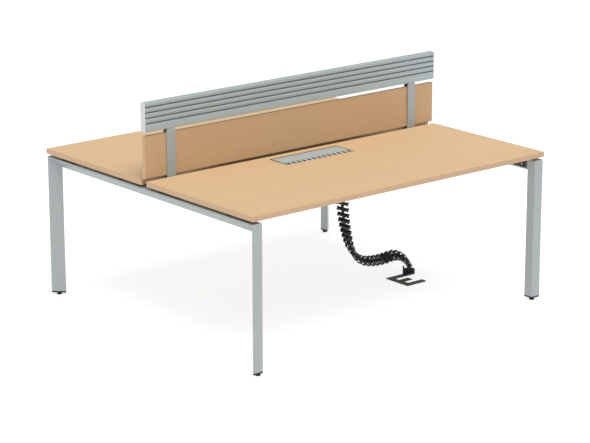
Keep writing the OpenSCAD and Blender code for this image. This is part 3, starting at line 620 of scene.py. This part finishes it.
# %% [markdown]
# The cable spine is a chain of moulded vertebrae, and it is the desk's most skilled piece.
# Each vertebra has a hub with a socket at one end and a ball on a neck at the other, so
# that the chain bends and twists. A slanted oval ring holds the cables beside the hub, and
# its two fingers are open enough to press a cable in. One vertebra is modelled with care
# here, about its own socket, and the chain is then stamped from it.

# %% Sizes of a vertebra
MM = 0.001
PITCH = 30 * MM
BALL_R = 6 * MM
NECK_R = 3.6 * MM
HUB_R = 8.5 * MM
HUB_TOP = 22 * MM
SOCKET_R = 6.2 * MM
SOCKET_LIP = 2 * MM
RING_W = 62 * MM
RING_D = 28 * MM
RING_H = 9 * MM
RING_WALL = 4 * MM
FINGER_H = 17 * MM
FINGER_IN = 23 * MM
WING_THK = 3 * MM
WING_H = 8 * MM
RING_SLANT = math.radians(-15.0)
SOFT = 0.9 * MM
HUB_STEPS = 18
RING_STEPS = 12
SOCKET_STEPS = 6
BALL_STEPS = 9
FINGER_STEPS = 10
ROUND_STEPS = 3
print("a vertebra every", PITCH, "m")

# %% [markdown]
# Three tools build it. A lathe turns a profile, a loft skins a row of equal loops, and a
# pad is a loft whose first and last loops are drawn in, so that its rims are soft.

# %% Mesh tools
def arc(centre, radius, start, stop, steps):
    """Points of an arc, from angle start to angle stop in degrees."""
    angles = [math.radians(start + (stop - start) * i / steps) for i in range(steps + 1)]
    return [(centre[0] + radius * math.cos(a), centre[1] + radius * math.sin(a)) for a in angles]


def lathe(work, profile, steps):
    """Turns (radius, height) pairs about Z. Both ends of the profile lie on the axis."""
    rings = []
    for radius, height in profile:
        count = steps if radius > 0 else 1
        angles = [math.tau * i / steps for i in range(count)]
        rings.append([work.verts.new((radius * math.cos(a), radius * math.sin(a), height))
                      for a in angles])
    for low, high in zip(rings, rings[1:]):
        for i in range(steps):
            corners = [low[i % len(low)], low[(i + 1) % len(low)],
                       high[(i + 1) % len(high)], high[i % len(high)]]
            work.faces.new(list(dict.fromkeys(corners)))


def loft(work, loops, ring=False):
    """Skins equal loops of points. The ends are capped, unless the loops run in a ring."""
    rows = [[work.verts.new(point) for point in loop] for loop in loops]
    for low, high in zip(rows, rows[1:] + rows[:1] if ring else rows[1:]):
        for i in range(len(low)):
            j = (i + 1) % len(low)
            work.faces.new((low[i], low[j], high[j], high[i]))
    if not ring:
        work.faces.new(rows[0][::-1])
        work.faces.new(rows[-1])


def pad(work, outline, height, soft, matrix):
    """A block with that outline, centred on the matrix, with soft upper and lower rims."""
    xs, ys = [x for x, _ in outline], [y for _, y in outline]
    centre = Vector(((min(xs) + max(xs)) / 2, (min(ys) + max(ys)) / 2))
    half = Vector(((max(xs) - min(xs)) / 2, (max(ys) - min(ys)) / 2))
    levels = [(-1, soft), (-1, 0.3 * soft), (-1, 0.0), (1, 0.0), (1, 0.3 * soft), (1, soft)]
    loops = []
    for side, inset in levels:
        level = side * (height / 2 - soft + math.sqrt(soft ** 2 - (soft - inset) ** 2))
        loops.append([matrix @ Vector((centre.x + (x - centre.x) * (1 - inset / half.x),
                                       centre.y + (y - centre.y) * (1 - inset / half.y), level))
                      for x, y in outline])
    loft(work, loops)


print("lathe, loft and pad are ready")

# %% [markdown]
# The hub is turned: socket, barrel, neck and ball in one profile. The ring is a rounded
# section carried round an oval path, and all that stands beside the hub shares its slant.

# %% One vertebra
def hub(work):
    """Socket, barrel, neck and ball as one turned profile."""
    mouth = math.degrees(math.asin(-SOCKET_LIP / SOCKET_R))
    socket = arc((0, 0), SOCKET_R, 90, mouth, SOCKET_STEPS)
    socket[0] = (0.0, SOCKET_R)
    barrel_r = HUB_R - SOFT
    barrel = (arc((barrel_r, SOFT - SOCKET_LIP), SOFT, -90, 0, ROUND_STEPS)
              + arc((barrel_r, HUB_TOP - SOFT), SOFT, 0, 90, ROUND_STEPS))
    neck = [(NECK_R + SOFT / 2, HUB_TOP), (NECK_R, HUB_TOP + SOFT / 2)]
    neck_end = math.degrees(math.asin(NECK_R / BALL_R))
    ball = arc((0, PITCH), BALL_R, neck_end - 90, 90, BALL_STEPS)
    ball[-1] = (0.0, PITCH + BALL_R)
    lathe(work, socket + barrel + neck + ball, HUB_STEPS)


def oval_ring(work, reach, tilt):
    """The rounded section, carried round two half circles and the straights between them."""
    middle = RING_D / 2 - RING_WALL / 2
    half_u, half_v = RING_WALL / 2 - SOFT, RING_H / 2 - SOFT
    section = []
    for side_u, side_v, first in ((1, 1, 0), (-1, 1, 90), (-1, -1, 180), (1, -1, 270)):
        section += arc((side_u * half_u, side_v * half_v), SOFT, first, first + 90, 2)
    loops = []
    for side, first in ((1, -90), (-1, 90)):
        for x, y in arc((0, 0), 1.0, first, first + 180, RING_STEPS):
            loops.append([tilt @ Vector((side * reach + x * (middle + u), y * (middle + u), v))
                          for u, v in section])
    loft(work, loops, ring=True)


def fingers(work, reach, tilt):
    """The two tall ends of the ring, each cut off straight on its inner side."""
    half_angle = math.degrees(math.acos((FINGER_IN - reach) / (RING_D / 2)))
    for side in (1, -1):
        end = arc((reach, 0), RING_D / 2, -half_angle, half_angle, FINGER_STEPS)
        outline = [(side * x, y) for x, y in end]
        pad(work, outline, FINGER_H, SOFT, tilt)


def wings(work, tilt):
    """The crossed webs that join the ring to the hub."""
    thin, across = WING_THK / 2, RING_D / 2 - RING_WALL / 2
    for half_x, half_y in ((FINGER_IN + SOFT, thin), (thin, across)):
        outline = [(-half_x, -half_y), (half_x, -half_y), (half_x, half_y), (-half_x, half_y)]
        pad(work, outline, WING_H, SOFT / 2, tilt)


def vertebra():
    """One link of the chain: its socket at the origin and its ball one pitch up."""
    tilt = Matrix.Translation((0, 0, PITCH / 2)) @ Matrix.Rotation(RING_SLANT, 4, "Y")
    reach = (RING_W - RING_D) / 2
    work = bmesh.new()
    hub(work)
    oval_ring(work, reach, tilt)
    fingers(work, reach, tilt)
    wings(work, tilt)
    bmesh.ops.recalc_face_normals(work, faces=work.faces)
    return smooth(meshed(work, "vertebra"), CREASE)


vertebra_mesh = vertebra()
print("a vertebra of", len(vertebra_mesh.polygons), "faces")

# %% [markdown]
# The chain rises from its cup, leans over and hangs from the tray. It is walked link by
# link: each stretch is a number of links that all turn and twist by the same angles, as a
# real chain is set out by eye. The turn lies in the plane of the chain. The first aim is
# the heading and the twist that the first link starts from. All these angles are degrees.

# %% The cable spine
STRETCHES = [(1, 0, 0), (5, 13, -4), (5, -4, 2), (3, -12, 2), (3, -8, 10), (12, -2, 6.5)]
FIRST_AIM = (123, 64)
CUP_X = 680 * MM
CUP_BALL_H = 50 * MM
SPINE_Y = -87 * MM


def spine_places():
    """The place and turn of every link, from the cup up to the tray."""
    x, z = CUP_X, CUP_BALL_H
    heading, twist = FIRST_AIM
    places = []
    for count, turn, roll in STRETCHES:
        for _ in range(count):
            heading, twist = heading + turn, twist + roll
            stand = (Matrix.Rotation(math.radians(90 - heading), 3, "Y")
                     @ Matrix.Rotation(math.radians(twist), 3, "Z"))
            places.append(((x, SPINE_Y, z), stand.to_euler("XYZ")))
            x += PITCH * math.cos(math.radians(heading))
            z += PITCH * math.sin(math.radians(heading))
    return places


links = spine_places()
spine = stamped("cable_spine", vertebra_mesh, links, spine_plastic)
settle(spine, "spine_plastic", "desk", "spine_links_floor", "spine_links_bend", "spine_links_drop")
print(len(links), "links,", len(spine.data.polygons), "faces")

# %% [markdown]
# The screws are pan heads with a hex socket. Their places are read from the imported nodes:
# each separate cylinder in a node gives an axis, the end with the head and the sizes. One
# screw is turned on the lathe for each size, and it is stamped wherever that size is used.

# %% Find the screws
def islands(work):
    """The separate solids of a bmesh, each as a list of its points."""
    seen = set()
    found = []
    for first in work.verts:
        if first in seen:
            continue
        seen.add(first)
        heap, points = [first], []
        while heap:
            vert = heap.pop()
            points.append(vert.co.copy())
            fresh = {edge.other_vert(vert) for edge in vert.link_edges} - seen
            seen |= fresh
            heap += sorted(fresh, key=lambda v: v.index)
        found.append(points)
    return found


def measured(points):
    """One screw: the top of its head, its direction and its four sizes."""
    low = Vector([min(p[i] for p in points) for i in range(3)])
    high = Vector([max(p[i] for p in points) for i in range(3)])
    size, centre = high - low, (low + high) / 2
    axis = min(range(3), key=lambda i: abs(size[i - 1] - size[i - 2]))
    reach = {}
    for point in points:
        radial = point - centre
        radial[axis] = 0.0
        level = round(point[axis], 6)
        reach[level] = max(reach.get(level, 0.0), radial.length)
    levels = sorted(reach)
    if reach[levels[0]] < reach[levels[-1]]:
        levels.reverse()
    top, tip = levels[0], levels[-1]
    head_r, shank_r = reach[top], reach[tip]
    head_h = max(abs(level - top) for level in levels if reach[level] > (head_r + shank_r) / 2)
    place = centre.copy()
    place[axis] = top
    way = Vector((0.0, 0.0, 0.0))
    way[axis] = math.copysign(1.0, tip - top)
    sizes = tuple(round(v, 5) for v in (head_r, head_h, shank_r, abs(tip - top)))
    return tuple(place), way.to_track_quat("Z", "Y").to_euler("XYZ"), sizes


def screws_by_size(name):
    """The places and turns of a node's screws, under their sizes."""
    work = merged_copy(name)
    work.verts.index_update()
    groups = {}
    for points in islands(work):
        place, turn, sizes = measured(points)
        groups.setdefault(sizes, []).append((place, turn))
    work.free()
    return groups


for sizes, found in screws_by_size("bracket_screws").items():
    print(len(found), "bracket screws, sizes", sizes)

# %% [markdown]
# The head's profile is five pairs: shares of its radius and of its height. Its socket is
# turned round like the rest, and the points of those rings are then drawn in to a hexagon.

# %% Turn and stamp the screws
SCREW_STEPS = 24
SCREW_CREASE = math.radians(35.0)
HEAD = [(0.62, 0.0), (0.82, 0.10), (0.95, 0.35), (1.0, 0.65), (1.0, 1.0)]
HEX_SHARE = 0.52
HEX_DEPTH_SHARE = 0.6
TIP_SHARE = 0.25
HEX_SECTOR = 60.0


def hexed(work, radius):
    """Draws the rings of that radius in to a hexagon."""
    for vert in work.verts:
        if abs(math.hypot(vert.co.x, vert.co.y) - radius) < 1e-7:
            turn = math.degrees(math.atan2(vert.co.y, vert.co.x)) % HEX_SECTOR - HEX_SECTOR / 2
            vert.co.xy *= math.cos(math.radians(HEX_SECTOR / 2)) / math.cos(math.radians(turn))


def screw_mesh(name, head_r, head_h, shank_r, length):
    """A pan-head screw with its head's top at zero and its tip up."""
    hexagon, depth = HEX_SHARE * head_r, HEX_DEPTH_SHARE * head_h
    chamfer = TIP_SHARE * shank_r
    socket = [(0.0, depth), (hexagon, depth), (hexagon, 0.0)]
    head = [(out * head_r, up * head_h) for out, up in HEAD]
    shank = [(shank_r, head_h), (shank_r, length - chamfer), (shank_r - chamfer, length),
             (0.0, length)]
    work = bmesh.new()
    lathe(work, socket + head + shank, SCREW_STEPS)
    hexed(work, hexagon)
    bmesh.ops.recalc_face_normals(work, faces=work.faces)
    return smooth(meshed(work, name), SCREW_CREASE)


def turned_screws(name):
    """All screws of a node as one piece: each size is stamped, and the stamps are joined."""
    groups = screws_by_size(name)
    whole = bmesh.new()
    for i, (sizes, places) in enumerate(sorted(groups.items())):
        part = stamped(f"{name}_{i}", screw_mesh(f"{name}_screw", *sizes), places, zinc_steel)
        whole.from_mesh(part.data)
        bpy.data.objects.remove(part)
    mesh = meshed(whole, name + "_turned")
    mesh.set_sharp_from_angle(angle=SCREW_CREASE)
    print(f"{name}: {len(groups)} sizes, {sum(map(len, groups.values()))} screws")
    return settle(linked(name + "_turned", mesh), SLOTS[name], body_of(name), name)


for name in ("beam_bolts", "bracket_screws", "worktop_screws", "rail_screws", "spine_screws"):
    turned_screws(name)

# %% [markdown]
# The tool rail is one hollow extrusion. Its slats are bulged, so that each catches light
# on its upper half, and the grooves between them have a lip that a tray's hook goes behind.
# The chambers are left out here, because the end caps close them.

# %% Sections of the tool rail
DESK_LEN = 1800 * MM
RAIL_CAP = 2.5 * MM
RAIL_LEN = DESK_LEN - 2 * RAIL_CAP
RAIL_Z = 972 * MM
RAIL_H = 138 * MM
HALF_FACE = 17 * MM
GROOVE_FLOOR = 5 * MM
LIP_IN = 12.8 * MM
GROOVE_HALF = 3 * MM
HOOK_H = 4 * MM
GROOVE_PITCH = 25.5 * MM
FIRST_GROOVE = 39.5 * MM
GROOVES = 4
CROWN_R = 5 * MM
CROWN_STEPS = 8
CHANNEL_HALF = 10.3 * MM
CHANNEL_H = 20.3 * MM
LIP_R = 0.7 * MM
SLAT_OVERLAP = 0.5 * MM
FACE_STEPS = 16
SLAT_BULGE = (2.4 * MM, 1.0 * MM, 0.65)
BAND_BULGE = (1.2 * MM, 0.6 * MM, 0.5)
TOP_BAND_IN = 1.6 * MM
TOP_BAND_MID = (0.5 * MM, 6 * MM)


def slat_face(low, high, bulge):
    """Points (outward, height) up a face with rounded lips. Its bulge is how far it falls
    back below and above its crest, and the crest's share of the height."""
    below, above, crest = bulge
    points = []
    for i in range(FACE_STEPS + 1):
        t = 0.5 - 0.5 * math.cos(math.pi * i / FACE_STEPS)
        height = low + t * (high - low)
        if t < crest:
            drop = below * ((crest - t) / crest) ** 2
        else:
            drop = above * ((t - crest) / (1 - crest)) ** 2
        edge = min(height - low, high - height, LIP_R)
        rounding = LIP_R - math.sqrt(LIP_R ** 2 - (LIP_R - edge) ** 2)
        points.append((HALF_FACE - drop - rounding, height))
    return points


def slat_section():
    """One slat above its groove at height zero: lip, bulged face and hooking space."""
    low, high = GROOVE_HALF, GROOVE_PITCH - GROOVE_HALF
    inner = GROOVE_FLOOR - SLAT_OVERLAP
    return ([(LIP_IN, low)] + slat_face(low, high, SLAT_BULGE)
            + [(inner, high), (inner, low + HOOK_H), (LIP_IN, low + HOOK_H)])


def core_section():
    """The bands and the core as one closed outline, with the channel for the posts below."""
    band_high = FIRST_GROOVE - GROOVE_HALF
    top_low = FIRST_GROOVE + (GROOVES - 1) * GROOVE_PITCH + GROOVE_HALF
    top_face = HALF_FACE - TOP_BAND_IN
    crown = arc((HALF_FACE - CROWN_R, RAIL_H - CROWN_R), CROWN_R, 0, 90, CROWN_STEPS)
    half = ([(CHANNEL_HALF, CHANNEL_H), (CHANNEL_HALF, 0.0)]
            + slat_face(0.0, band_high, BAND_BULGE)
            + [(GROOVE_FLOOR, band_high), (GROOVE_FLOOR, top_low + HOOK_H),
               (LIP_IN, top_low + HOOK_H), (LIP_IN, top_low),
               (top_face - LIP_R, top_low), (top_face, top_low + LIP_R),
               (HALF_FACE - TOP_BAND_MID[0], top_low + TOP_BAND_MID[1])] + crown)
    return half + [(-out, height) for out, height in half[::-1]]


def section_mesh(name, outline):
    """A flat face at the rail's left end, facing along the rail. Outward is to the front."""
    mesh = bpy.data.meshes.new(name)
    mesh.from_pydata([(-RAIL_LEN / 2, -out, RAIL_Z + height) for out, height in outline], [],
                     [tuple(range(len(outline)))[::-1]])
    return mesh


print("a slat of", len(slat_section()), "points and a core of", len(core_section()))

# %% [markdown]
# The nodes push one slat's section out along the rail, repeat it at the groove pitch and
# turn a second set round to the rear. The bands and the core are one section of their own.
# An extrusion press works the same way: one section serves the whole length.

# %% Draw the rail
RAIL_CREASE = math.radians(40.0)


def drawn(recipe, face, along):
    """A face pushed along a vector, its first end closed by the flipped face itself."""
    walls = recipe.add("GeometryNodeExtrudeMesh",
                       {"Mesh": face, "Offset": along, "Individual": False},
                       out="Mesh", mode="FACES")
    back = recipe.add("GeometryNodeFlipFaces", {"Mesh": face})
    return recipe.add("GeometryNodeMergeByDistance",
                      {"Geometry": recipe.joined(walls, back), "Distance": SAME_PLACE / 2})


def drawn_rail():
    """The recipe: both sections are pushed along X, and the slats repeated up and round."""
    slat = linked("slat_section", section_mesh("slat_section", slat_section()))
    recipe = Recipe("drawn_rail", slat=("Object", slat), length=("Float", RAIL_LEN),
                    pitch=("Float", GROOVE_PITCH), slats=("Int", GROOVES - 1),
                    first=("Float", FIRST_GROOVE))
    given = recipe.given
    along = recipe.add("ShaderNodeCombineXYZ", {"X": given["length"]})
    step = recipe.add("ShaderNodeCombineXYZ", {"Z": given["pitch"]})
    start = recipe.add("ShaderNodeCombineXYZ", {"Z": given["first"]})
    shape = recipe.add("GeometryNodeObjectInfo", {"Object": given["slat"]}, out="Geometry")
    line = recipe.add("GeometryNodeMeshLine",
                      {"Count": given["slats"], "Start Location": start, "Offset": step})
    front = recipe.add("GeometryNodeInstanceOnPoints",
                       {"Points": line, "Instance": drawn(recipe, shape, along)})
    rear = recipe.add("GeometryNodeTransform",
                      {"Geometry": front, "Rotation": (0.0, 0.0, math.pi)})
    core = drawn(recipe, given["start"], along)
    piece = recipe.grow("tool_rail_drawn", section_mesh("rail_section", core_section()),
                        recipe.joined(front, rear, core), rail_aluminium)
    bpy.data.objects.remove(slat)
    return piece


rail = drawn_rail()
smooth(rail.data, RAIL_CREASE)
settle(rail, "rail_aluminium", "desk", "tool_rail")
print("tool rail of", len(rail.data.polygons), "faces")
